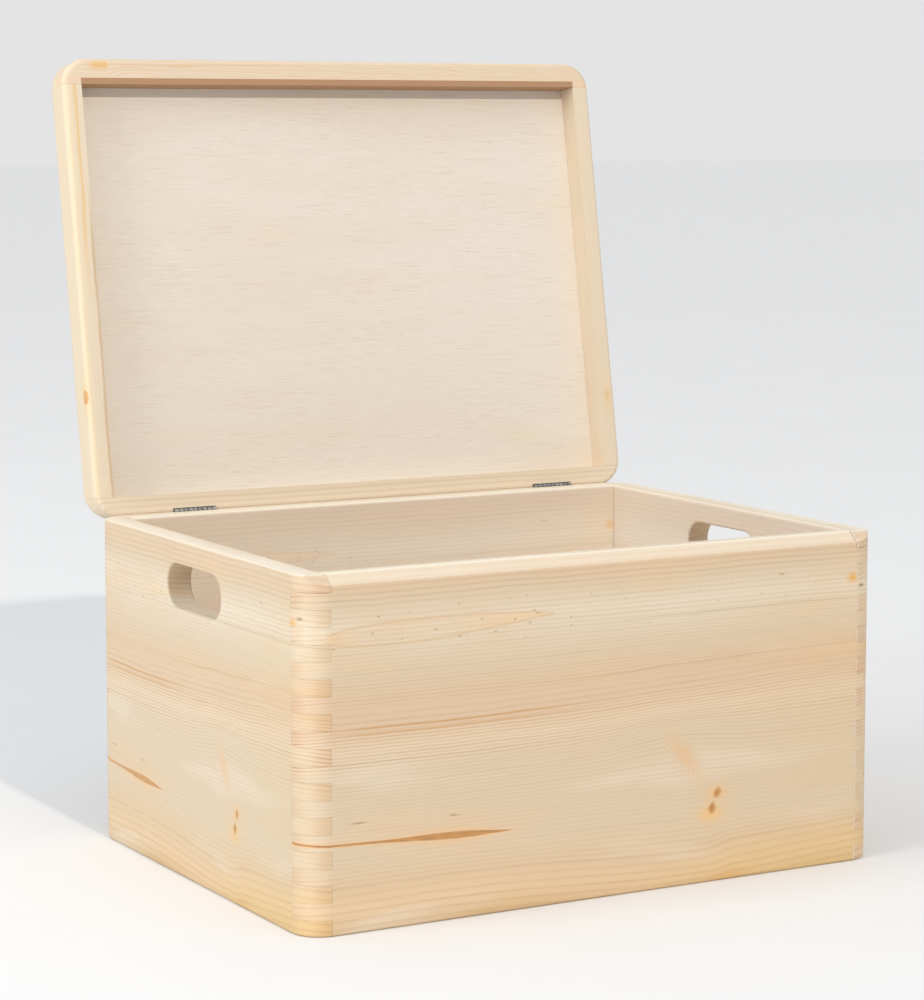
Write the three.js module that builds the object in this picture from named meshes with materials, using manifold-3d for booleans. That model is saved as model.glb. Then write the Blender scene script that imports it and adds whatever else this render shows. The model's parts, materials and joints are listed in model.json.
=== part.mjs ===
// Pine toy box with a hinged lid, in millimetres.
// The origin is the middle of the underside. +X runs along the width, -Y is the front and +Z is up.
// The box stands open: the lid leans back on its own edge, and closes about the pin of two butt hinges.

import * as THREE from 'three';
import { mergeVertices } from 'three/addons/utils/BufferGeometryUtils.js';
import Module from 'manifold-3d';

const wasm = await Module();
wasm.setup();

// The box
const WIDTH = 400;
const DEPTH = 300;
const BOX_HEIGHT = 208;
const WALL = 17;
const CORNER_RADIUS = 18;
const RIM_ROUND = 2;
const FINGER_ROWS = 21;
const GLUE_LINE = 0.1;
const GRIP_BEVEL = { depth: 8, height: 6.5 };
const HANDLE = { length: 78, height: 27, middle: 180 };
const BOTTOM = { thickness: 6, rebate: 8, slack: 0.1 };

// The lid, a rail frame round a plywood panel
const LID_THICKNESS = 22;
const LID_ROUND = 3.5;
const LID_SIDE_RAIL = 13;
const LID_BACK_RAIL = 13;
const LID_FRONT_RAIL = 17;
const LID_PANEL = { thickness: 6, rebate: 6, slack: 0.1 };
const CLOSED_GAP = 0.3;
const OPEN_ANGLE = THREE.MathUtils.degToRad(99.8);

// The butt hinges. The pin lies just inside the back of the box, level with the lid's joint.
const HINGE_MIDDLES = { left: -131, right: 142 };
const HINGE_LENGTH = 30;
const KNUCKLES = 9;
const KNUCKLE_GAP = 0.6;
const BARREL_RADIUS = 1.7;
const BARREL_ROOM = { radius: 0.45, end: 0.3 };
const PIN_RADIUS = 0.75;
const PIN_CLEARANCE = 0.06;
const LEAF = { thickness: 0.7, start: 2.5, end: 16, corner: 2, slack: 0.1 };
const PIN = { y: DEPTH / 2 - 1.43, z: BOX_HEIGHT + CLOSED_GAP / 2 };
const SCREW = {
  head: 2.2, headDepth: 1.2, shank: 1.1, length: 10, point: 2, tip: 0.2, apart: 18, fromPin: 9.6,
};
const RECESS = { length: 2.6, width: 0.6, depth: 0.8 };
const SCREW_CLEARANCE = 0.1;
const OVERCUT = 1;

const pine = new THREE.MeshStandardMaterial({ color: 0xdecbac, roughness: 0.62, metalness: 0 });
const plywood = new THREE.MeshStandardMaterial({ color: 0xe4d8c6, roughness: 0.68, metalness: 0 });
const steel = new THREE.MeshStandardMaterial({ color: 0x9b9b98, roughness: 0.35, metalness: 1 });

// A closed geometry as a solid that can be joined and cut.
function solid(geometry) {
  const bare = geometry.clone();
  bare.deleteAttribute('normal');
  bare.deleteAttribute('uv');
  const merged = mergeVertices(bare, 1e-5);
  return new wasm.Manifold(new wasm.Mesh({
    numProp: 3,
    vertProperties: new Float32Array(merged.attributes.position.array),
    triVerts: new Uint32Array(merged.index.array),
  }));
}

// A solid as a named mesh.
function piece(name, body, material) {
  const { vertProperties, triVerts } = body.getMesh();
  const geometry = new THREE.BufferGeometry();
  geometry.setAttribute('position', new THREE.BufferAttribute(new Float32Array(vertProperties), 3));
  geometry.setIndex(new THREE.BufferAttribute(new Uint32Array(triVerts), 1));
  geometry.computeVertexNormals();
  const mesh = new THREE.Mesh(geometry, material);
  mesh.name = name;
  return mesh;
}

// A block between two opposite corners.
function block([x0, y0, z0], [x1, y1, z1]) {
  const geometry = new THREE.BoxGeometry(x1 - x0, y1 - y0, z1 - z0);
  geometry.translate((x0 + x1) / 2, (y0 + y1) / 2, (z0 + z1) / 2);
  return solid(geometry);
}

// A round bar along X.
function bar(radius, x0, x1, y, z, segments = 24) {
  const geometry = new THREE.CylinderGeometry(radius, radius, x1 - x0, segments);
  geometry.rotateZ(Math.PI / 2).translate((x0 + x1) / 2, y, z);
  return solid(geometry);
}

const joined = (solids) => solids.reduce((whole, next) => whole.add(next));

// A rectangle with rounded corners, centred on the origin.
function roundedRectangle(width, height, radius) {
  const [x, y] = [width / 2 - radius, height / 2 - radius];
  const outline = new THREE.Shape();
  outline.absarc(x, y, radius, 0, Math.PI / 2);
  outline.absarc(-x, y, radius, Math.PI / 2, Math.PI);
  outline.absarc(-x, -y, radius, Math.PI, 1.5 * Math.PI);
  outline.absarc(x, -y, radius, 1.5 * Math.PI, 2 * Math.PI);
  outline.closePath();
  return outline;
}

// An upright prism of an outline, its ends eased by a quarter round.
function easedPrism(outline, bottom, top, round) {
  const geometry = new THREE.ExtrudeGeometry(outline, {
    depth: top - bottom - 2 * round,
    curveSegments: 8,
    bevelThickness: round,
    bevelSize: round,
    bevelOffset: -round,
    bevelSegments: 3,
  });
  geometry.translate(0, 0, bottom + round);
  return solid(geometry);
}

// The four walls in one ring: rounded outside corners, a square inside and an eased rim.
function wallRing() {
  const outline = roundedRectangle(WIDTH, DEPTH, CORNER_RADIUS);
  const [x, y] = [WIDTH / 2 - WALL, DEPTH / 2 - WALL];
  outline.holes.push(new THREE.Path([[-x, -y], [-x, y], [x, y], [x, -y]].map((p) => new THREE.Vector2(...p))));
  return easedPrism(outline, 0, BOX_HEIGHT, RIM_ROUND);
}

// The rows of a finger joint that one board fills: even rows are the side panels' own.
function fingerRows(parity) {
  const height = BOX_HEIGHT / FINGER_ROWS;
  const rows = [];
  for (let row = parity; row < FINGER_ROWS; row += 2) {
    const low = row === 0 ? -OVERCUT : row * height;
    const high = row === FINGER_ROWS - 1 ? BOX_HEIGHT + OVERCUT : (row + 1) * height;
    rows.push([low, high]);
  }
  return rows;
}

// A side panel's blank at +X: the board between the other two, and its fingers at both ends.
function sideBlank() {
  const [x0, x1] = [WIDTH / 2 - WALL, WIDTH / 2 + OVERCUT];
  const middle = DEPTH / 2 - WALL;
  const end = DEPTH / 2 + OVERCUT;
  const board = block([x0, -middle, -OVERCUT], [x1, middle, BOX_HEIGHT + OVERCUT]);
  return joined([board, ...fingerRows(0).map(([low, high]) => block([x0, -end, low], [x1, end, high]))]);
}

// A front or back panel's blank at +Y. It is a glue line smaller at every joint face.
function frontBlank() {
  const [y0, y1] = [DEPTH / 2 - WALL, DEPTH / 2 + OVERCUT];
  const middle = WIDTH / 2 - WALL - GLUE_LINE;
  const end = WIDTH / 2 + OVERCUT;
  const board = block([-middle, y0, -OVERCUT], [middle, y1, BOX_HEIGHT + OVERCUT]);
  const fingers = fingerRows(1).map(([low, high]) =>
    block([-end, y0 + GLUE_LINE, low + GLUE_LINE], [end, y1, high - GLUE_LINE]));
  return joined([board, ...fingers]);
}

// The rebate inside the foot of the walls that takes the bottom panel.
function bottomRebate() {
  const x = WIDTH / 2 - WALL + BOTTOM.rebate + BOTTOM.slack;
  const y = DEPTH / 2 - WALL + BOTTOM.rebate + BOTTOM.slack;
  return block([-x, -y, -OVERCUT], [x, y, BOTTOM.thickness + BOTTOM.slack]);
}

// The wedge that comes off the front edge of the rim, where fingers lift the lid.
function gripBevel() {
  const across = 30;
  const geometry = new THREE.BoxGeometry(WIDTH + 2 * OVERCUT, across, across);
  geometry.translate(0, 0, across / 2);
  geometry.rotateX(Math.atan2(GRIP_BEVEL.height, GRIP_BEVEL.depth));
  geometry.translate(0, -DEPTH / 2, BOX_HEIGHT - GRIP_BEVEL.height);
  return solid(geometry);
}

// The round-ended hand hole through both side panels.
function handHole() {
  const outline = roundedRectangle(HANDLE.length, HANDLE.height, HANDLE.height / 2 - 0.001);
  const geometry = new THREE.ExtrudeGeometry(outline, {
    depth: WIDTH + 2 * OVERCUT, curveSegments: 8, bevelEnabled: false,
  });
  geometry.rotateX(Math.PI / 2).rotateZ(Math.PI / 2);
  geometry.translate(-WIDTH / 2 - OVERCUT, 0, HANDLE.middle);
  return solid(geometry);
}

// The screw's outline turned about the way it is driven. Its head faces +Y at the origin.
// A positive clearance gives the hole it sits in, open above the head.
function screwShape(clearance = 0) {
  const { head, headDepth, shank, length, point, tip } = SCREW;
  const profile = [
    [0, -length - clearance],
    [tip + clearance, -length - clearance],
    [shank + clearance, point - length - clearance],
    [shank + clearance, -headDepth],
    [head + clearance, 0],
  ];
  if (clearance > 0) profile.push([head + clearance, OVERCUT]);
  profile.push([0, clearance > 0 ? OVERCUT : 0]);
  return new THREE.LatheGeometry(profile.map((p) => new THREE.Vector2(...p)), 12);
}

// Where one leaf's screws go in. The leaf hangs below the pin on the box and stands above it on the lid.
function screwPlaces(hingeMiddle, side) {
  const y = PIN.y + BARREL_RADIUS;
  const z = PIN.z + side * SCREW.fromPin;
  return [-1, 1].map((end) => [hingeMiddle + (end * SCREW.apart) / 2, y, z]);
}

function screwHoles(side) {
  return joined(Object.values(HINGE_MIDDLES).flatMap((middle) =>
    screwPlaces(middle, side).map((place) => solid(screwShape(SCREW_CLEARANCE).translate(...place)))));
}

// A countersunk wood screw with a cross recess.
function screw([x, y, z]) {
  const slot = [RECESS.length / 2, RECESS.depth, RECESS.width / 2];
  const cross = block([-slot[0], -slot[1], -slot[2]], [slot[0], OVERCUT, slot[2]])
    .add(block([-slot[2], -slot[1], -slot[0]], [slot[2], OVERCUT, slot[0]]));
  return solid(screwShape()).subtract(cross).translate([x, y, z]);
}

// Room for both hinge barrels in the edges of the box and the lid.
function barrelMortises() {
  return joined(Object.values(HINGE_MIDDLES).map((middle) => {
    const reach = HINGE_LENGTH / 2 + BARREL_ROOM.end;
    return bar(BARREL_RADIUS + BARREL_ROOM.radius, middle - reach, middle + reach, PIN.y, PIN.z, 32);
  }));
}

// The plate of a leaf between two depths, from just past the pin to its far edge.
function leafPlate(middle, side, y0, y1, slack = 0) {
  const height = LEAF.end + LEAF.corner + slack;
  const outline = roundedRectangle(HINGE_LENGTH + 2 * slack, height, LEAF.corner + slack);
  const plate = new THREE.ExtrudeGeometry(outline, { depth: y1 - y0, curveSegments: 4, bevelEnabled: false });
  plate.rotateX(Math.PI / 2).translate(middle, y1, PIN.z + side * (LEAF.end + slack - height / 2));
  return solid(plate);
}

// The shallow recesses that one member's leaves are let into.
function leafRecesses(side) {
  const floor = PIN.y + BARREL_RADIUS - LEAF.thickness - LEAF.slack;
  return joined(Object.values(HINGE_MIDDLES).map((middle) =>
    leafPlate(middle, side, floor, DEPTH / 2 + OVERCUT, LEAF.slack)));
}

// One leaf: a plate with its share of the knuckles rolled round the pin.
// side is -1 for the box's leaf below the pin, which has the odd knuckle, and 1 for the lid's.
function hingeLeaf(middle, side) {
  const [y0, y1] = [PIN.y + BARREL_RADIUS - LEAF.thickness, PIN.y + BARREL_RADIUS];
  const edge = PIN.z + side * LEAF.start;
  const [start, end] = [middle - HINGE_LENGTH / 2, middle + HINGE_LENGTH / 2];
  const past = PIN.z - side * (LEAF.corner + OVERCUT);
  const trim = block(
    [start - OVERCUT, y0 - OVERCUT, Math.min(edge, past)],
    [end + OVERCUT, y1 + OVERCUT, Math.max(edge, past)],
  );
  let leaf = leafPlate(middle, side, y0, y1).subtract(trim);
  const pitch = HINGE_LENGTH / KNUCKLES;
  for (let knuckle = side < 0 ? 0 : 1; knuckle < KNUCKLES; knuckle += 2) {
    const x0 = start + knuckle * pitch + KNUCKLE_GAP / 2;
    const x1 = x0 + pitch - KNUCKLE_GAP;
    const root = PIN.z + side * (LEAF.start + LEAF.corner);
    const strap = block([x0, y0, Math.min(PIN.z, root)], [x1, y1, Math.max(PIN.z, root)]);
    leaf = leaf.add(strap).add(bar(BARREL_RADIUS, x0, x1, PIN.y, PIN.z));
  }
  const bore = bar(PIN_RADIUS + PIN_CLEARANCE, start - OVERCUT, end + OVERCUT, PIN.y, PIN.z);
  const holes = screwPlaces(middle, side).map((place) => solid(screwShape(SCREW_CLEARANCE).translate(...place)));
  return leaf.subtract(bore).subtract(joined(holes));
}

// The shut lid's outside, before it is divided into rails.
function lidBlank(bottom) {
  return easedPrism(roundedRectangle(WIDTH, DEPTH, CORNER_RADIUS), bottom, bottom + LID_THICKNESS, LID_ROUND);
}

// The lid frame's opening, with the rebate above it for the panel. grow widens the rebate.
function lidOpening(bottom) {
  const x = WIDTH / 2 - LID_SIDE_RAIL;
  const [front, back] = [LID_FRONT_RAIL - DEPTH / 2, DEPTH / 2 - LID_BACK_RAIL];
  const reach = LID_PANEL.rebate + LID_PANEL.slack;
  const top = bottom + LID_THICKNESS;
  return block([-x, front, bottom - OVERCUT], [x, back, top + OVERCUT]).add(block(
    [-x - reach, front - reach, top - LID_PANEL.thickness - LID_PANEL.slack],
    [x + reach, back + reach, top + OVERCUT],
  ));
}

// The four rails of the lid. Each corner is a bridle of two layers:
// the front and back rails run through below, and the side rails run through above.
function lidRails(bottom) {
  const frame = lidBlank(bottom).subtract(lidOpening(bottom));
  const layer = bottom + LID_THICKNESS / 2;
  const [low, high] = [bottom - OVERCUT, bottom + LID_THICKNESS + OVERCUT];
  const [x, y] = [WIDTH / 2, DEPTH / 2];
  const inner = x - LID_SIDE_RAIL;
  const [front, back] = [LID_FRONT_RAIL - y, y - LID_BACK_RAIL];
  const lengthways = (y0, y1) =>
    block([-x - OVERCUT, y0, low], [x + OVERCUT, y1, layer - GLUE_LINE])
      .add(block([GLUE_LINE - inner, y0, low], [inner - GLUE_LINE, y1, high]));
  const crossways = (x0, x1) =>
    block([x0, front + GLUE_LINE, low], [x1, back - GLUE_LINE, high])
      .add(block([x0, -y - OVERCUT, layer], [x1, y + OVERCUT, high]));
  return {
    lid_front_rail: frame.intersect(lengthways(-y - OVERCUT, front)),
    lid_back_rail: frame.intersect(lengthways(back, y + OVERCUT))
      .subtract(barrelMortises()).subtract(leafRecesses(1)).subtract(screwHoles(1)),
    lid_left_rail: frame.intersect(crossways(-x - OVERCUT, -inner)),
    lid_right_rail: frame.intersect(crossways(inner, x + OVERCUT)),
  };
}

// The plywood panel, flush with the top of the shut lid.
function lidPanel(bottom) {
  const x = WIDTH / 2 - LID_SIDE_RAIL + LID_PANEL.rebate;
  const top = bottom + LID_THICKNESS;
  return block(
    [-x, LID_FRONT_RAIL - LID_PANEL.rebate - DEPTH / 2, top - LID_PANEL.thickness],
    [x, DEPTH / 2 - LID_BACK_RAIL + LID_PANEL.rebate, top],
  );
}

// The box: four finger-jointed panels and the bottom.
function boxPieces() {
  const ring = wallRing().subtract(bottomRebate()).subtract(gripBevel());
  const side = ring.intersect(sideBlank()).subtract(handHole());
  const back = ring.intersect(frontBlank())
    .subtract(barrelMortises()).subtract(leafRecesses(-1)).subtract(screwHoles(-1));
  const x = WIDTH / 2 - WALL + BOTTOM.rebate;
  const y = DEPTH / 2 - WALL + BOTTOM.rebate;
  return [
    piece('front_panel', ring.intersect(frontBlank().mirror([0, 1, 0])), pine),
    piece('back_panel', back, pine),
    piece('left_side_panel', side.mirror([1, 0, 0]), pine),
    piece('right_side_panel', side, pine),
    piece('bottom_panel', block([-x, -y, 0], [x, y, BOTTOM.thickness]), plywood),
  ];
}

// The lid in its shut place.
function lidPieces() {
  const bottom = BOX_HEIGHT + CLOSED_GAP;
  const rails = Object.entries(lidRails(bottom)).map(([name, rail]) => piece(name, rail, pine));
  return [...rails, piece('lid_panel', lidPanel(bottom), plywood)];
}

// One member's half of the hinges: a leaf each with its two screws.
function leafPieces(member, side) {
  return Object.entries(HINGE_MIDDLES).flatMap(([hinge, middle]) => [
    piece(`${hinge}_hinge_${member}_leaf`, hingeLeaf(middle, side), steel),
    ...screwPlaces(middle, side).map((place, index) =>
      piece(`${hinge}_hinge_${member}_screw_${index + 1}`, screw(place), steel)),
  ]);
}

function hingePins() {
  const reach = HINGE_LENGTH / 2;
  return Object.entries(HINGE_MIDDLES).map(([hinge, middle]) =>
    piece(`${hinge}_hinge_pin`, bar(PIN_RADIUS, middle - reach, middle + reach, PIN.y, PIN.z), steel));
}

// The lid turns about the pin, so it hangs in a group there.
const swing = new THREE.Group();
swing.position.set(0, PIN.y, PIN.z);
swing.rotation.x = -OPEN_ANGLE;
for (const mesh of [...lidPieces(), ...leafPieces('lid', 1)]) {
  mesh.position.set(0, -PIN.y, -PIN.z);
  swing.add(mesh);
}

const toyBox = new THREE.Group();
toyBox.add(...boxPieces(), ...leafPieces('box', -1), ...hingePins(), swing);

export default toyBox;
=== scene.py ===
"""A pine toy box with finger-jointed corners and a framed plywood lid on two butt hinges."""
import json
import math

import bmesh
import bpy
import numpy as np
from mathutils import Euler, Matrix, Vector


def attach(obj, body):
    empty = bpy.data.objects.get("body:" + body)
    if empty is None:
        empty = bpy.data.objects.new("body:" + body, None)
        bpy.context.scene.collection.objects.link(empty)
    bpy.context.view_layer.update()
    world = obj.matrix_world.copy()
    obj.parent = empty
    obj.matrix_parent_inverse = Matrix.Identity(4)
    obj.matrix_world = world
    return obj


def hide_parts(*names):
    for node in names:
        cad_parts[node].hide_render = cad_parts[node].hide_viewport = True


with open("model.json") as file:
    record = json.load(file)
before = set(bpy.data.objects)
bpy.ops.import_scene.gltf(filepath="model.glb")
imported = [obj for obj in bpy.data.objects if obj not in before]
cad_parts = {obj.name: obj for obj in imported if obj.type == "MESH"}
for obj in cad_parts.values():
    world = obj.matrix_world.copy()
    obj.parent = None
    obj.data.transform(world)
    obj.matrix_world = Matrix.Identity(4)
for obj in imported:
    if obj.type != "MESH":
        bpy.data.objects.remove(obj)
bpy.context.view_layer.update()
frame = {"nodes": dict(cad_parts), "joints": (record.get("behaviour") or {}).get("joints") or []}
scene = bpy.context.scene
scene.view_settings.view_transform = "Standard"


# The camera stands to the left of the box at the height of the open lid's middle.
# It looks a little down with a long lens, so upright edges stay nearly upright.
CAMERA_PLACE = (-0.942, -1.6463, 0.4595)
CAMERA_TURN = math.radians(29.41)
CAMERA_DOWN = math.radians(6.16)
camera = bpy.data.objects.new("camera", bpy.data.cameras.new("camera"))
scene.collection.objects.link(camera)
scene.camera = camera
camera.location = CAMERA_PLACE
camera.rotation_euler = Euler((math.pi / 2 - CAMERA_DOWN, 0, -CAMERA_TURN))
camera.data.lens = 108.7
camera.data.shift_y = -0.05


# The studio: white paper laid out under the box, a crisp key light from straight in front of the box
# and 30 degrees up, a wide softbox to its left, and a sky that is brightest overhead.
PAPER_REACH, PAPER_STEPS = 30.0, 8


def paper_sheet():
    """A flat square grid at height 0 that reaches equally far from the box along X and Y."""
    row = PAPER_STEPS + 1
    reach = np.linspace(-PAPER_REACH, PAPER_REACH, row)
    x, y = np.meshgrid(reach, reach)
    points = np.stack([x, y, 0 * x], axis=-1).reshape(-1, 3)
    corner = (np.arange(PAPER_STEPS)[:, None] * row + np.arange(PAPER_STEPS)).ravel()
    mesh = bpy.data.meshes.new("paper_sheet")
    mesh.from_pydata(points, [], np.stack([corner, corner + 1, corner + row + 1, corner + row], axis=-1))
    mesh.update()
    return mesh


def shader(name):
    """A new material's tree, its Principled shader and its tree's Object coordinates."""
    material = bpy.data.materials.new(name)
    material.use_nodes = True
    tree = material.node_tree
    place = tree.nodes.new("ShaderNodeTexCoord")
    return material, tree, tree.nodes["Principled BSDF"], place


floor = bpy.data.objects.new("paper_sheet", paper_sheet())
scene.collection.objects.link(floor)
paper, tree, surface, place = shader("paper")
fibres = tree.nodes.new("ShaderNodeTexNoise")
fibres.inputs["Scale"].default_value = 6.0
shades = tree.nodes.new("ShaderNodeValToRGB")
shades.color_ramp.elements[0].color = (0.815, 0.81, 0.805, 1)
shades.color_ramp.elements[1].color = (0.845, 0.84, 0.835, 1)
tree.links.new(place.outputs["Object"], fibres.inputs["Vector"])
tree.links.new(fibres.outputs["Fac"], shades.inputs["Fac"])
tree.links.new(shades.outputs["Color"], surface.inputs["Base Color"])
surface.inputs["Roughness"].default_value = 0.9
surface.inputs["Specular IOR Level"].default_value = 0.1
floor.data.materials.append(paper)


def lamp(name, kind, place, aim, power):
    """A light at a place that faces the point aim."""
    light = bpy.data.lights.new(name, kind)
    light.energy = power
    holder = bpy.data.objects.new(name, light)
    scene.collection.objects.link(holder)
    holder.location = place
    holder.rotation_euler = (Vector(place) - Vector(aim)).to_track_quat("Z", "Y").to_euler()
    return light


key = lamp("key_light", "SUN", (0, -4, 2.5), (0, 0, 0.2), 1.22)
key.angle = math.radians(2.0)
key.color = (1.0, 0.91, 0.80)
left_softbox = lamp("left_softbox", "AREA", (-3.2, -0.3, 1.5), (0, 0, 0.2), 64)
left_softbox.shape = "SQUARE"
left_softbox.size = 1.8
left_softbox.color = (0.96, 0.985, 1.0)
world = bpy.data.worlds.new("studio")
scene.world = world
world.use_nodes = True
tree = world.node_tree
sky = tree.nodes["Background"]
height = tree.nodes.new("ShaderNodeSeparateXYZ")
tree.links.new(tree.nodes.new("ShaderNodeTexCoord").outputs["Generated"], height.inputs[0])
glow = tree.nodes.new("ShaderNodeValToRGB")
glow.color_ramp.elements[0].position, glow.color_ramp.elements[1].position = 0.15, 1.0
glow.color_ramp.elements[0].color = (0.12, 0.12, 0.12, 1)
glow.color_ramp.elements[1].color = (0.91, 0.95, 1.0, 1)
tree.links.new(height.outputs["Z"], glow.inputs["Fac"])
backdrop = tree.nodes.new("ShaderNodeMix")
backdrop.data_type = "RGBA"
backdrop.inputs[7].default_value = (0.645, 0.645, 0.65, 1)
tree.links.new(tree.nodes.new("ShaderNodeLightPath").outputs["Is Camera Ray"], backdrop.inputs[0])
tree.links.new(glow.outputs["Color"], backdrop.inputs[6])
tree.links.new(backdrop.outputs[2], sky.inputs["Color"])
sky.inputs["Strength"].default_value = 1.2


# The pine boards: sawn tangentially from one tree, so the rings run along each board in bands of
# wide and narrow lines. All lengths in the wood's pattern are millimetres on a board 400 long and
# 208 high: x along the grain, y through the board, z up. The wood is bare, sanded and matt.
CREAM, ROSY, STRAW, HONEY = "d9c6ab", "d9bfa1", "dbc29f", "d3b588"
LATEWOOD, AMBER, RESIN, BARK = "c0986a", "c79659", "b97c40", "805634"


def paint(code):
    """A colour's linear values from its six hex digits."""
    parts = [int(code[i:i + 2], 16) / 255 for i in (0, 2, 4)]
    return (*[p / 12.92 if p <= 0.04045 else ((p + 0.055) / 1.055) ** 2.4 for p in parts], 1)


class Field:
    """A number that varies over a surface. Arithmetic on it adds Math nodes to its tree."""

    def __init__(self, tree, socket):
        self.tree, self.socket = tree, socket

    def do(self, operation, *others):
        node = self.tree.nodes.new("ShaderNodeMath")
        node.operation = operation
        for slot, value in zip(node.inputs, (self, *others)):
            if isinstance(value, Field):
                self.tree.links.new(value.socket, slot)
            else:
                slot.default_value = value
        return Field(self.tree, node.outputs[0])

    def __add__(self, other):
        return self.do("ADD", other)

    def __sub__(self, other):
        return self.do("SUBTRACT", other)

    def __mul__(self, other):
        return self.do("MULTIPLY", other)

    def __truediv__(self, other):
        return self.do("DIVIDE", other)

    def rise(self, low, high):
        """0 below low, 1 above high and smooth between them."""
        node = self.tree.nodes.new("ShaderNodeMapRange")
        node.interpolation_type = "SMOOTHSTEP"
        self.tree.links.new(self.socket, node.inputs["Value"])
        node.inputs["From Min"].default_value = low
        node.inputs["From Max"].default_value = high
        return Field(self.tree, node.outputs["Result"])

    def fall(self, low, high):
        """1 below low, 0 above high and smooth between them."""
        return self.rise(low, high) * -1.0 + 1.0

    def stops(self, pairs):
        """The colour or number that a ramp gives, through (place, colour or number) pairs."""
        low, high = pairs[0][0], pairs[-1][0]
        share = (self - low) / (high - low)
        node = self.tree.nodes.new("ShaderNodeValToRGB")
        ramp = node.color_ramp
        while len(ramp.elements) < len(pairs):
            ramp.elements.new(1.0)
        for element, (at, value) in zip(ramp.elements, pairs):
            element.position = (at - low) / (high - low)
            element.color = paint(value) if isinstance(value, str) else (value, value, value, 1)
        self.tree.links.new(share.socket, node.inputs["Fac"])
        return Field(self.tree, node.outputs["Color"])


def bell(x, z, middle, size, turn=0.0):
    """exp(-(a/size0)^2 - (b/size1)^2), where a and b are x and z from the middle, turned by degrees."""
    cosine, sine = math.cos(math.radians(turn)), math.sin(math.radians(turn))
    dx, dz = x - middle[0], z - middle[1]
    a = (dx * cosine + dz * sine) / size[0]
    b = (dz * cosine - dx * sine) / size[1]
    return (a * a + b * b).do("MULTIPLY", -1.0).do("EXPONENT")


def noise(tree, place, spans, detail=2.0, start=0.0):
    """Smooth noise from about -0.5 to 0.5 whose lumps are about as large as the spans along x, y and z."""
    scaled = tree.nodes.new("ShaderNodeMapping")
    scaled.inputs["Scale"].default_value = [1 / span for span in spans]
    scaled.inputs["Location"].default_value = (start, start * 0.7, start * 1.3)
    node = tree.nodes.new("ShaderNodeTexNoise")
    node.inputs["Scale"].default_value = 1.0
    node.inputs["Detail"].default_value = detail
    tree.links.new(place, scaled.inputs["Vector"])
    tree.links.new(scaled.outputs["Vector"], node.inputs["Vector"])
    return Field(tree, node.outputs["Fac"]) - 0.5


def mixed(tree, under, over, amount, way="MIX"):
    """The colour under with the colour over laid on it by an amount from 0 to 1."""
    node = tree.nodes.new("ShaderNodeMix")
    node.data_type, node.blend_type, node.clamp_factor = "RGBA", way, True
    for slot, value in ((node.inputs[0], amount), (node.inputs[6], under), (node.inputs[7], over)):
        if isinstance(value, Field):
            tree.links.new(value.socket, slot)
        elif isinstance(value, str):
            slot.default_value = paint(value)
        else:
            slot.default_value = value
    return Field(tree, node.outputs[2])


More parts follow.
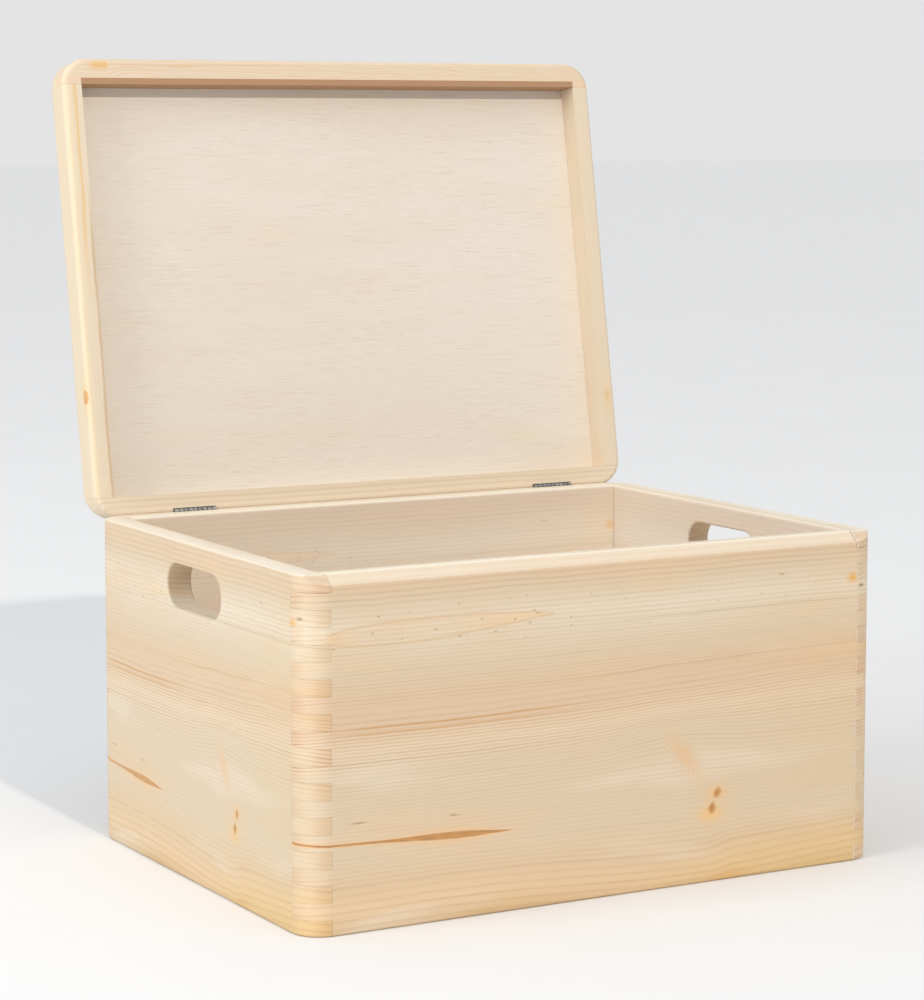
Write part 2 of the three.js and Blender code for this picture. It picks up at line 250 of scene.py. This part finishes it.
def board_pattern():
    """The tree's own pattern as a node group: the colour and relief at a place in a board.

    The height z is first bent, so that lines rise to the right, part round the knots and wander.
    A ramp then turns it into a count of rings, and the last part of each ring is its dark late wood."""
    tree = bpy.data.node_groups.new("pine_board", "ShaderNodeTree")
    for name, kind, way in (("Place", "NodeSocketVector", "INPUT"),
                            ("End grain", "NodeSocketFloat", "INPUT"),
                            ("Figure", "NodeSocketFloat", "INPUT"),
                            ("Colour", "NodeSocketColor", "OUTPUT"),
                            ("Relief", "NodeSocketFloat", "OUTPUT")):
        tree.interface.new_socket(name, in_out=way, socket_type=kind)
    given = tree.nodes.new("NodeGroupInput")
    place = given.outputs["Place"]
    end_grain = Field(tree, given.outputs["End grain"])
    figure = Field(tree, given.outputs["Figure"])
    parts = tree.nodes.new("ShaderNodeSeparateXYZ")
    tree.links.new(place, parts.inputs[0])
    x, y, z = [Field(tree, parts.outputs[i]) for i in range(3)]

    # The bends of the grain
    middle_rise = x.rise(-60, 200) * bell(x * 0, z, (0, 122), (1, 34)) * 8
    low_sag = bell(x, z, (62, 12), (95, 26)) * -7
    low_step = x.rise(74, 92) * z.fall(22, 44) * 2.6 * figure
    shoulder = bell(x, z, (50, 92), (48, 15)) * 5.5 * figure
    feather = bell(x, z, (57, 79), (16, 3.6), -51) * 7 * figure
    knot_bend = bell(x, z, (79, 56), (9, 5)) * 3 * figure - bell(x, z, (75, 42), (10, 6)) * 3 * figure
    wander = (noise(tree, place, (150, 60, 60), 1.0) * 4
              + noise(tree, place, (46, 30, 16), 1.0, 3.0) * 1.5
              + noise(tree, place, (15, 9, 5), 1.0, 7.0) * 0.5)
    bent = z - (middle_rise + low_sag + low_step + shoulder + feather + knot_bend) + wander + y * 0.12

    # Rings and their late wood
    counts = ((-12, 0), (0, 2), (28, 8), (55, 18), (97, 37), (119, 48), (131, 51), (150, 60),
              (166, 67), (180, 72), (214, 82))
    rings = bent.stops([(height, (count + 6) / 90) for height, count in counts]) * 90
    part = rings.do("FRACT")
    late = part.rise(0.42, 0.90) * part.fall(0.90, 1.0)
    own = tree.nodes.new("ShaderNodeTexWhiteNoise")
    own.noise_dimensions = "1D"
    tree.links.new(rings.do("FLOOR").socket, own.inputs["W"])
    own_strength = Field(tree, own.outputs["Value"]) * 0.7 + 0.5
    along = noise(tree, place, (70, 40, 3.0), 1.0, 11.0) * 1.1 + 0.85
    band = bent.stops([(-12, 0.40), (24, 0.36), (34, 0.20), (60, 0.24), (88, 0.34), (97, 0.62),
                       (117, 0.70), (121, 0.34), (129, 0.22), (136, 0.46), (141, 0.34), (166, 0.28),
                       (185, 0.26), (196, 0.5), (203, 0.3), (214, 0.3)])
    line = late * own_strength * along * band

    # The ground colour: cream, rosier at mid-height, straw and honey low down
    ground = bent.stops([(-12, HONEY), (2, HONEY), (13, "e1c59e"), (26, STRAW), (44, CREAM),
                         (92, CREAM), (106, "e1cbb0"), (120, ROSY), (134, ROSY), (150, CREAM),
                         (176, "e3d4bd"), (190, CREAM), (200, ROSY), (214, CREAM)])
    clouds = noise(tree, place, (130, 60, 26), 2.0, 5.0)
    ground = mixed(tree, ground, "e0c29e", clouds.rise(0.02, 0.30) * 0.55)
    ground = mixed(tree, ground, "e5d7c3", clouds.fall(-0.32, -0.04) * 0.7)
    ground = mixed(tree, ground, "dfc086", x.rise(0, 120) * bent.fall(14, 34) * 0.5)
    # Painted highlight: a band at the board's top edge, the box's rim, is made paler as if lit from above.
    ground = mixed(tree, ground, "f0e8d6", z.rise(206.9, 207.8) * 0.75)
    colour = mixed(tree, ground, LATEWOOD, line)

    # The strong amber pair of rings, which fades halfway along
    pair = (bell(x * 0, bent, (0, 118.6), (1, 0.75)) + bell(x * 0, bent, (0, 115.2), (1, 0.7)) * 0.8)
    colour = mixed(tree, colour, AMBER, pair * x.fall(-70, 10) * x.rise(-200, -150) * 0.72)
    thin = bell(x * 0, bent, (0, 166.8), (1, 0.35)) * x.rise(-20, 70) * 0.6
    thinner = bell(x * 0, bent, (0, 134), (1, 0.4)) * x.rise(-60, 20) * 0.45
    colour = mixed(tree, colour, "b39a66", thin + thinner)

    # A long loop of one ring, honey-coloured at both ends
    t = (x + 187) / 152
    inside = t.rise(0.0, 0.02) * t.fall(0.985, 1.0)
    half = t.do("MAXIMUM", 0.0).do("SQRT") * (t * -1.0 + 1.0).do("MAXIMUM", 0.0) * 17.0
    off_middle = (bent - 171.5 - (x + 150) * 0.026).do("ABSOLUTE")
    edge = (off_middle - half) / 0.75
    loop = (edge * edge * -1.0).do("EXPONENT") * inside
    faint = figure * figure * figure
    fill = (off_middle - half).fall(-0.8, 0.2) * (t.rise(0.50, 0.82) + t.fall(0.03, 0.16)) * inside
    colour = mixed(tree, colour, "cfa872", loop * 0.42 * faint)
    colour = mixed(tree, colour, "e9c690", fill * 0.45 * faint)

    # Resin ducts: small dark flecks, close together round the loop
    cells = tree.nodes.new("ShaderNodeTexVoronoi")
    cells.voronoi_dimensions = "2D"
    cells.inputs["Scale"].default_value = 1.0
    squeezed = tree.nodes.new("ShaderNodeCombineXYZ")
    tree.links.new((x / 12).socket, squeezed.inputs["X"])
    tree.links.new((z / 6.5).socket, squeezed.inputs["Y"])
    tree.links.new(squeezed.outputs[0], cells.inputs["Vector"])
    fleck = Field(tree, cells.outputs["Distance"]).fall(0.05, 0.12)
    where = z.rise(158, 166) * z.fall(184, 190) * (x.fall(150, 200) * 0.35 + x.fall(-60, 10) * 0.45)
    sparse = noise(tree, place, (9, 50, 5), 0.0, 17.0).rise(-0.03, 0.08)
    colour = mixed(tree, colour, "9b7a45", fleck * where * sparse * 0.65)
    for at in ((-166, 64.2, 5.0), (-104, 62.0, 3.2), (126, 186, 2.0)):
        colour = mixed(tree, colour, "a97b4b", bell(x, z, at[:2], (at[2], 0.55), -1) * 0.75 * figure)

    # A warm zone at mid-height towards the far end
    colour = mixed(tree, colour, "e0b67e", x.rise(60, 200) * bell(x * 0, bent, (0, 131), (1, 11)) * 0.34)
    colour = mixed(tree, colour, "d8bb8c", x.rise(40, 190) * bent.rise(28, 60) * bent.fall(150, 190) * 0.22)

    # The knots and the curl above them
    colour = mixed(tree, colour, "e2b683", bell(x, z, (56, 80), (17, 5.5), -51) * 0.60 * figure)
    colour = mixed(tree, colour, "e9be7b", bell(x, z, (75, 42.5), (9.5, 5.5)) * 0.85 * figure)
    colour = mixed(tree, colour, "e6b87c", bell(x, z, (79.5, 55.3), (8, 4.4)) * 0.7 * figure)
    rough_x = x + noise(tree, place, (5, 5, 5), 2.0, 41.0) * 4
    rough_z = z + noise(tree, place, (5, 5, 5), 2.0, 47.0) * 4
    for at, size, turn in (((79.8, 55.5), (3.0, 3.2), 0), ((76.2, 46.2), (2.7, 4.2), -20)):
        heart = bell(rough_x, rough_z, at, size, turn)
        colour = mixed(tree, colour, AMBER, heart.rise(0.25, 0.65) * 0.85 * figure)
        colour = mixed(tree, colour, RESIN, heart.rise(0.66, 0.95) * 0.85 * figure)
    colour = mixed(tree, colour, "d8a565", bell(x, bent, (86, 5), (15, 5)) * 0.55 * figure)
    colour = mixed(tree, colour, "e3ab4e", bell(x, z, (180, 180), (4.2, 3.0)) * 0.9 * figure)
    for at in ((187, 182.8), (187, 174.6)):
        colour = mixed(tree, colour, BARK, bell(x, z, at, (2.2, 1.0)) * 0.8 * figure)

    # A resin streak that starts past the board's far end and runs into this one
    wrapped = (x + 210).do("WRAP", 400.0, 0.0) - 210
    swell = bell(wrapped, z * 0, (-106, 0), (30, 1)) * 1.5 + 0.7
    thick = swell * wrapped.rise(-212, -203) * wrapped.fall(-92, -48)
    ragged = noise(tree, place, (9, 9, 1.4), 2.0, 23.0) * 1.5
    offset = (z - 53.0 + (wrapped + 190) * 0.034 + ragged * 0.35).do("ABSOLUTE") / (thick + 0.001)
    colour = mixed(tree, colour, "e9bd8b", offset.fall(0.9, 3.2) * wrapped.fall(-70, -25) * 0.55 * figure)
    core = mixed(tree, "c68f50", "a2703a", ragged.rise(-0.3, 0.5))
    colour = mixed(tree, colour, core, offset.fall(0.7, 1.15) * thick.rise(0.1, 0.5) * 0.92 * figure)

    # On end grain the late wood is darker and redder
    colour = mixed(tree, colour, "f0d8bd", end_grain * 0.32, "MULTIPLY")
    stripe = (line * 2.4 - 0.35).do("MAXIMUM", 0.0).do("MINIMUM", 1.0)
    colour = mixed(tree, colour, "bd8a68", stripe * end_grain * 0.65)

    # Fibres
    fibre = noise(tree, place, (16, 0.9, 0.42), 3.0, 31.0)
    colour = mixed(tree, colour, "c9a77e", fibre.rise(0.06, 0.34) * 0.20)
    colour = mixed(tree, colour, "f3e6d2", fibre.fall(-0.34, -0.06) * 0.22)
    relief = line * 0.5 + fibre * 0.8
    out = tree.nodes.new("NodeGroupOutput")
    tree.links.new(colour.socket, out.inputs["Colour"])
    tree.links.new(relief.socket, out.inputs["Relief"])
    return tree


PINE = board_pattern()


def cut_place(tree, place, to_board, lie=None):
    """A place in a piece as a place in its board, in the board's millimetres.
    lie first turns a piece of the open lid back to where it lies when it is shut."""
    socket = place.outputs["Object"]
    for matrix in ([lie] if lie else []) + [to_board]:
        where, turn, size = matrix.decompose()
        node = tree.nodes.new("ShaderNodeMapping")
        node.inputs["Location"].default_value = where
        node.inputs["Rotation"].default_value = turn.to_euler()
        node.inputs["Scale"].default_value = size
        tree.links.new(socket, node.inputs["Vector"])
        socket = node.outputs["Vector"]
    return socket


def pine(name, to_board, grain, figure=1.0, lie=None, marks=None):
    """Bare sanded pine. grain is the way its fibres run in the piece's own coordinates.
    marks lays the piece's own knots and lines on the board's colour, and on some pieces painted highlights
    and painted shade."""
    material, tree, surface, place = shader(name)
    wood = tree.nodes.new("ShaderNodeGroup")
    wood.node_tree = PINE
    tree.links.new(cut_place(tree, place, to_board, lie), wood.inputs["Place"])
    facing = tree.nodes.new("ShaderNodeVectorMath")
    facing.operation = "DOT_PRODUCT"
    facing.inputs[1].default_value = grain
    tree.links.new(place.outputs["Normal"], facing.inputs[0])
    end = Field(tree, facing.outputs["Value"]).do("ABSOLUTE").rise(0.72, 1.0)
    tree.links.new(end.socket, wood.inputs["End grain"])
    wood.inputs["Figure"].default_value = figure
    colour = Field(tree, wood.outputs["Colour"])
    if marks:
        colour = marks(tree, cut_place(tree, place, LENGTHWAYS, lie), colour)
    tree.links.new(colour.socket, surface.inputs["Base Color"])
    relief = Field(tree, wood.outputs["Relief"])
    tree.links.new((relief * 0.10 + 0.60).socket, surface.inputs["Roughness"])
    bump = tree.nodes.new("ShaderNodeBump")
    bump.inputs["Strength"].default_value = 0.30
    bump.inputs["Distance"].default_value = 0.00012
    tree.links.new(relief.socket, bump.inputs["Height"])
    tree.links.new(bump.outputs["Normal"], surface.inputs["Normal"])
    surface.inputs["Specular IOR Level"].default_value = 0.5
    return material


def sanded(name, node, body, material, eased=()):
    """A CAD piece finished by hand: its corners merged, its flat faces whole and its edges eased.
    eased holds (which edges, radius, steps), and a test of an edge's middle says which edges."""
    mesh = frame["nodes"][node].data.copy()
    mesh.name = name
    for layer in [a.name for a in mesh.attributes if a.name == "custom_normal"]:
        mesh.attributes.remove(mesh.attributes[layer])
    shape = bmesh.new()
    shape.from_mesh(mesh)
    bmesh.ops.remove_doubles(shape, verts=shape.verts, dist=2e-6)
    bmesh.ops.dissolve_limit(shape, angle_limit=math.radians(1), verts=shape.verts, edges=shape.edges)
    for chosen, radius, steps in eased:
        edges = [e for e in shape.edges if e.is_manifold and e.calc_face_angle(0) > math.radians(40)
                 and chosen((e.verts[0].co + e.verts[1].co) / 2)]
        bmesh.ops.bevel(shape, geom=edges, offset=radius, segments=steps, profile=0.5, affect="EDGES")
    for face in shape.faces:
        face.smooth = True
    shape.to_mesh(mesh)
    shape.free()
    mesh.set_sharp_from_angle(angle=math.radians(38))
    mesh.materials.clear()
    mesh.materials.append(material)
    piece = bpy.data.objects.new(name, mesh)
    scene.collection.objects.link(piece)
    even = piece.modifiers.new("even_normals", "WEIGHTED_NORMAL")
    even.keep_sharp = True
    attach(piece, body)
    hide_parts(node)
    return piece


# The four walls of the box: solid pine boards 17 mm thick, glued with finger joints and then rounded
# at the corners. The hand holes' edges are rounded over, and the foot is eased all round.
LENGTHWAYS = Matrix.Diagonal((1000, 1000, 1000, 1))
WALL_HALF = (0.200, 0.150)
SQUEEZE = WALL_HALF[0] / WALL_HALF[1]
FRONT_WOOD = Matrix.Translation((0, 150, 0)) @ LENGTHWAYS
BACK_WOOD = Matrix.Translation((0, -133, 0)) @ LENGTHWAYS
SIDE_SIZE = Matrix.Diagonal((1000, 1000 * SQUEEZE, 1000, 1))
LEFT_WOOD = Matrix.Translation((0, 200, 0)) @ Matrix.Rotation(math.pi / 2, 4, "Z") @ SIDE_SIZE
RIGHT_WOOD = Matrix.Translation((0, 200, 0)) @ Matrix.Rotation(-math.pi / 2, 4, "Z") @ SIDE_SIZE
HOLE_ROUND, FOOT_ROUND, BEVEL_ROUND = 0.0018, 0.0008, 0.0007
HOLE_HALF, HOLE_MIDDLE = (0.042, 0.0165), 0.180
FOOT_TOP, BEVEL_FRONT, BEVEL_FOOT = 0.0005, -0.14, 0.19


def round_hole(p):
    """Whether a place is on the edge of a hand hole."""
    return abs(p.y) < HOLE_HALF[0] and abs(p.z - HOLE_MIDDLE) < HOLE_HALF[1]


def at_foot(p):
    """Whether a place is at the foot of a wall."""
    return p.z < FOOT_TOP


def on_bevel(p):
    """Whether a place is on the grip bevel's edges."""
    return p.y < BEVEL_FRONT and p.z > BEVEL_FOOT


def axes(tree, spot):
    """The three numbers of a place."""
    parts = tree.nodes.new("ShaderNodeSeparateXYZ")
    tree.links.new(spot, parts.inputs[0])
    return [Field(tree, parts.outputs[i]) for i in range(3)]


def painted_bevel_highlight(tree, spot, colour):
    """Painted highlight on the planed grip bevel along the front board's upper edge: its faces are made
    paler as if lit from above and in front.
    """
    x, y, z = axes(tree, spot)
    bevel = y.rise(-149.9, -149.0) * y.fall(-142, -141) * z.rise(200.5, 202)
    # Painted highlight: the bevel's faces are mixed towards a pale cream.
    return mixed(tree, colour, "f3ead8", bevel * 0.35)


def painted_inside_light(side, inner):
    """Marks that paint light on a board's inner face, at inner millimetres along axis side: a painted
    highlight that makes the inside paler.
    """
    def marks(tree, spot, colour):
        # Painted highlight: the inner face is mixed towards a pale off-white.
        return mixed(tree, colour, "f4f0ea", axes(tree, spot)[side].fall(inner + 0.3, inner + 1.5) * 0.34)
    return marks


front_wood = pine("front_pine", FRONT_WOOD, (1, 0, 0), marks=painted_bevel_highlight)
# The back and right boards carry painted light on their inner faces.
back_wood = pine("back_pine", BACK_WOOD, (1, 0, 0), marks=painted_inside_light(1, 133))
left_wood = pine("left_pine", LEFT_WOOD, (0, 1, 0), figure=0.8)
right_wood = pine("right_pine", RIGHT_WOOD, (0, 1, 0), figure=0.8, marks=painted_inside_light(0, 183))
sanded("front_board", "front_panel", "box", front_wood,
       [(on_bevel, BEVEL_ROUND, 2), (at_foot, FOOT_ROUND, 2)])
sanded("back_board", "back_panel", "box", back_wood, [(at_foot, FOOT_ROUND, 2)])
for side, wood in (("left", left_wood), ("right", right_wood)):
    sanded(f"{side}_board", f"{side}_side_panel", "box", wood,
           [(round_hole, HOLE_ROUND, 4), (at_foot, FOOT_ROUND, 2)])


# The bottom and the lid's panel: 6 mm three-ply, glued into rebates. Its face is peeled from the log,
# so the grain is broad, faint and wavy with short light and dark ripples.
def shifted(tree, place, rise):
    """A place moved up by a number that varies over the surface."""
    step = tree.nodes.new("ShaderNodeCombineXYZ")
    tree.links.new(rise.socket, step.inputs["Y"])
    node = tree.nodes.new("ShaderNodeVectorMath")
    tree.links.new(place, node.inputs[0])
    tree.links.new(step.outputs[0], node.inputs[1])
    return node.outputs["Vector"]


def plywood(name, lie=None):
    """Bare sanded plywood: long ripples that a slow warp shifts across the grain."""
    material, tree, surface, place = shader(name)
    spot = cut_place(tree, place, LENGTHWAYS, lie)
    warp = noise(tree, spot, (30, 12, 10), 1.0, 21.0) * 4
    ripple = noise(tree, shifted(tree, spot, warp), (12, 0.95, 1.2), 2.0)
    fine = noise(tree, shifted(tree, spot, warp), (34, 0.75, 1.0), 2.0, 13.0)
    patch = noise(tree, spot, (70, 30, 10), 1.0, 33.0).rise(-0.2, 0.2) * 0.65 + 0.35
    broad = noise(tree, spot, (190, 46, 12), 2.0, 9.0)
    yellow = noise(tree, spot, (90, 26, 10), 2.0, 5.0)
    colour = mixed(tree, "e6ddd1", "e3d7c7", broad.rise(-0.12, 0.22) * 0.7)
    colour = mixed(tree, colour, "e6d8b6", yellow.rise(0.08, 0.34) * 0.4)
    colour = mixed(tree, colour, "bda68a", ripple.rise(0.06, 0.28) * patch * 0.34)
    colour = mixed(tree, colour, "f6f0e6", ripple.fall(-0.26, -0.06) * patch * 0.38)
    colour = mixed(tree, colour, "c4ae93", fine.rise(0.04, 0.28) * 0.30)
    tree.links.new(colour.socket, surface.inputs["Base Color"])
    relief = ripple + fine * 0.5
    tree.links.new((relief * 0.12 + 0.64).socket, surface.inputs["Roughness"])
    bump = tree.nodes.new("ShaderNodeBump")
    bump.inputs["Strength"].default_value = 0.5
    bump.inputs["Distance"].default_value = 0.0002
    tree.links.new(relief.socket, bump.inputs["Height"])
    tree.links.new(bump.outputs["Normal"], surface.inputs["Normal"])
    surface.inputs["Specular IOR Level"].default_value = 0.5
    return material


lid_hinge = next(j for j in frame["joints"] if j["name"] == "lid_hinge")
pin = Vector(lid_hinge["pos_m"])
open_angle = math.radians(max(lid_hinge["range_deg"]))
LID_SHUT = Matrix.Translation(pin) @ Matrix.Rotation(open_angle, 4, "X") @ Matrix.Translation(-pin)
sanded("bottom_board", "bottom_panel", "box", plywood("bottom_plywood"))
sanded("lid_board", "lid_panel", "lid", plywood("lid_plywood", LID_SHUT))


# The lid's four rails: pine, joined at the corners in two layers and rounded all round outside. The
# panel is glued into a rebate along their upper edge, so it lies flush with the top of the shut lid.
def rail(side, to_board, grain, marks):
    """A rail of pine that is paler than the box's, with its own marks; on the front and left rails these
    include painted shade and a painted highlight.
    """
    def lightened(tree, spot, colour):
        return marks(tree, spot, mixed(tree, colour, "ede1cc", 0.48))

    wood = pine(f"{side}_rail_pine", to_board, grain, figure=0.0, lie=LID_SHUT, marks=lightened)
    return sanded(f"{side}_rail", f"lid_{side}_rail", "lid", wood)


def front_marks(tree, spot, colour):
    """Wavy lines of plain-sawn wood, the amber end of the joint's tongue, and painted shade on the rail's
    inner face, which faces down when the lid stands open.
    """
    x, y, z = axes(tree, spot)
    wave = noise(tree, spot, (44, 9, 18), 2.0, 4.0) * 8 + noise(tree, spot, (9, 4, 6), 1.0, 8.0) * 1.2
    part = ((y - z * 0.8 + wave) * 0.52).do("FRACT")
    line = part.rise(0.35, 0.85) * part.fall(0.85, 1.0)
    colour = mixed(tree, colour, "dcb387", line * (noise(tree, spot, (25, 4, 9), 1.0, 2.0) + 0.55) * 0.75)
    colour = mixed(tree, colour, "ecc8ac", y.rise(-139, -136) * 0.35)
    # Painted shade: the rail's inner face, which faces down under the open lid, is mixed dark brown.
    inside = y.rise(-137.06, -137.01) * x.rise(-187.2, -187.0) * x.fall(187.0, 187.2)
    colour = mixed(tree, colour, "a3764c", inside * 0.85)
    tongue = x.rise(-184, -176) * x.fall(-168, -167.4) * y.rise(-149, -147) * y.fall(-144, -142)
    return mixed(tree, colour, "e2b673", tongue * 0.75)


def back_marks(tree, spot, colour):
    """Three straight rosy lines."""
    x, y, z = axes(tree, spot)
    bend = (y - (z - 208) * 0.8 + noise(tree, spot, (160, 30, 30), 1.0, 6.0) * 2.5
            + noise(tree, spot, (20, 2, 9), 2.0, 9.0) * 0.5)
    for at, depth in ((136.5, 0.55), (140, 0.65), (143.5, 0.5)):
        colour = mixed(tree, colour, "d3bda2", bell(x * 0, bend, (0, at), (1, 0.7)) * depth)
    return colour


def knot(tree, colour, x, y, middle):
    """A round knot with an amber ring, a resin-brown heart and a tan halo along the grain."""
    colour = mixed(tree, colour, "e8c795", bell(x, y, middle, (4.0, 13)) * 0.75)
    ring = bell(x, y, middle, (2.9, 4.2))
    colour = mixed(tree, colour, "dda866", ring.rise(0.20, 0.45) * 0.8)
    colour = mixed(tree, colour, "c58544", ring.rise(0.25, 0.4) * ring.fall(0.5, 0.7) * 0.7)
    return mixed(tree, colour, "c58a4c", bell(x, y, middle, (1.0, 1.6)) * 0.7)


def left_marks(tree, spot, colour):
    """A honey line along the upper half, a brown line at the inner edge, a knot on the outer edge, a painted
    highlight on the rounded outer edge and painted shade on the outer face.

    across follows the rail's section: x under the shut lid, then on past -200 up its outer face."""
    x, y, z = axes(tree, spot)
    across = x - (z - 208).do("MAXIMUM", 0.0)
    bend = (across + noise(tree, spot, (9, 60, 30), 1.0, 6.0) * 3
            + noise(tree, spot, (3, 12, 9), 1.0, 9.0) * 0.7)
    colour = mixed(tree, colour, "e3c087", bell(bend, y * 0, (-192.6, 0), (1.3, 1)) * y.fall(-60, 30) * 0.85)
    # Painted highlight: a pale band along the rounded outer edge.
    colour = mixed(tree, colour, "eedcb2", bell(bend, y * 0, (-198.5, 0), (2.5, 1)) * 0.4)
    # Painted shade: the rail's outer face is mixed darker.
    colour = mixed(tree, colour, "dcc8a6", across.fall(-200, -198) * 0.35)
    colour = mixed(tree, colour, "c4a680", bell(bend, y * 0, (-187.8, 0), (1.1, 1)) * y.rise(-80, -20) * 0.8)
    return knot(tree, colour, across, y, (-203.5, 71))


def right_marks(tree, spot, colour):
    """One faint knot."""
    x, y, z = axes(tree, spot)
    colour = mixed(tree, colour, "e9cfa4", bell(x, y, (194, 87), (4, 13)) * 0.8)
    return mixed(tree, colour, "dcb07a", bell(x, y, (194, 87), (1.8, 3)) * 0.6)


grain_up = (LID_SHUT.to_3x3().inverted() @ Vector((0, 1, 0)))[:]
UPRIGHT = Matrix.Rotation(math.pi / 2, 4, "X")
TURNED = Matrix.Rotation(math.pi / 2, 4, "Z") @ Matrix.Diagonal((1000, 1000, 1000, 1))
rail("front", Matrix.Translation((0, 0, 290)) @ UPRIGHT @ LENGTHWAYS, (1, 0, 0), front_marks)
rail("back", Matrix.Translation((0, 0, -70)) @ UPRIGHT @ LENGTHWAYS, (1, 0, 0), back_marks)
rail("left", Matrix.Translation((0, 0, 260)) @ UPRIGHT @ TURNED, grain_up, left_marks)
rail("right", Matrix.Translation((0, 0, -130)) @ UPRIGHT @ TURNED, grain_up, right_marks)


# The hinges: two zinc-plated steel butts 30 mm long. Their knuckles are rolled round a plain pin,
# and each leaf is held by two countersunk cross-head screws.
def zinc(name):
    """Zinc plate: cloudy grey, rubbed dull along fine lines."""
    material, tree, surface, place = shader(name)
    spot = place.outputs["Object"]
    cloud = noise(tree, spot, (0.003, 0.003, 0.003), 3.0)
    rub = noise(tree, spot, (0.004, 0.0004, 0.0004), 2.0, 4.0)
    colour = mixed(tree, "8d8e8c", "b9b9b4", cloud.rise(-0.2, 0.25))
    colour = mixed(tree, colour, "6f706f", rub.rise(0.05, 0.3) * 0.5)
    tree.links.new(colour.socket, surface.inputs["Base Color"])
    tree.links.new((cloud * 0.2 + 0.42).socket, surface.inputs["Roughness"])
    surface.inputs["Metallic"].default_value = 1.0
    bump = tree.nodes.new("ShaderNodeBump")
    bump.inputs["Strength"].default_value = 0.25
    bump.inputs["Distance"].default_value = 0.00005
    tree.links.new(rub.socket, bump.inputs["Height"])
    tree.links.new(bump.outputs["Normal"], surface.inputs["Normal"])
    return material


steel = zinc("zinc_plate")
for hinge in ("left", "right"):
    sanded(f"{hinge}_pin", f"{hinge}_hinge_pin", "box", steel)
    for body in ("box", "lid"):
        sanded(f"{hinge}_{body}_leaf", f"{hinge}_hinge_{body}_leaf", body, steel)
        for number in (1, 2):
            sanded(f"{hinge}_{body}_screw_{number}", f"{hinge}_hinge_{body}_screw_{number}", body,
                   steel)
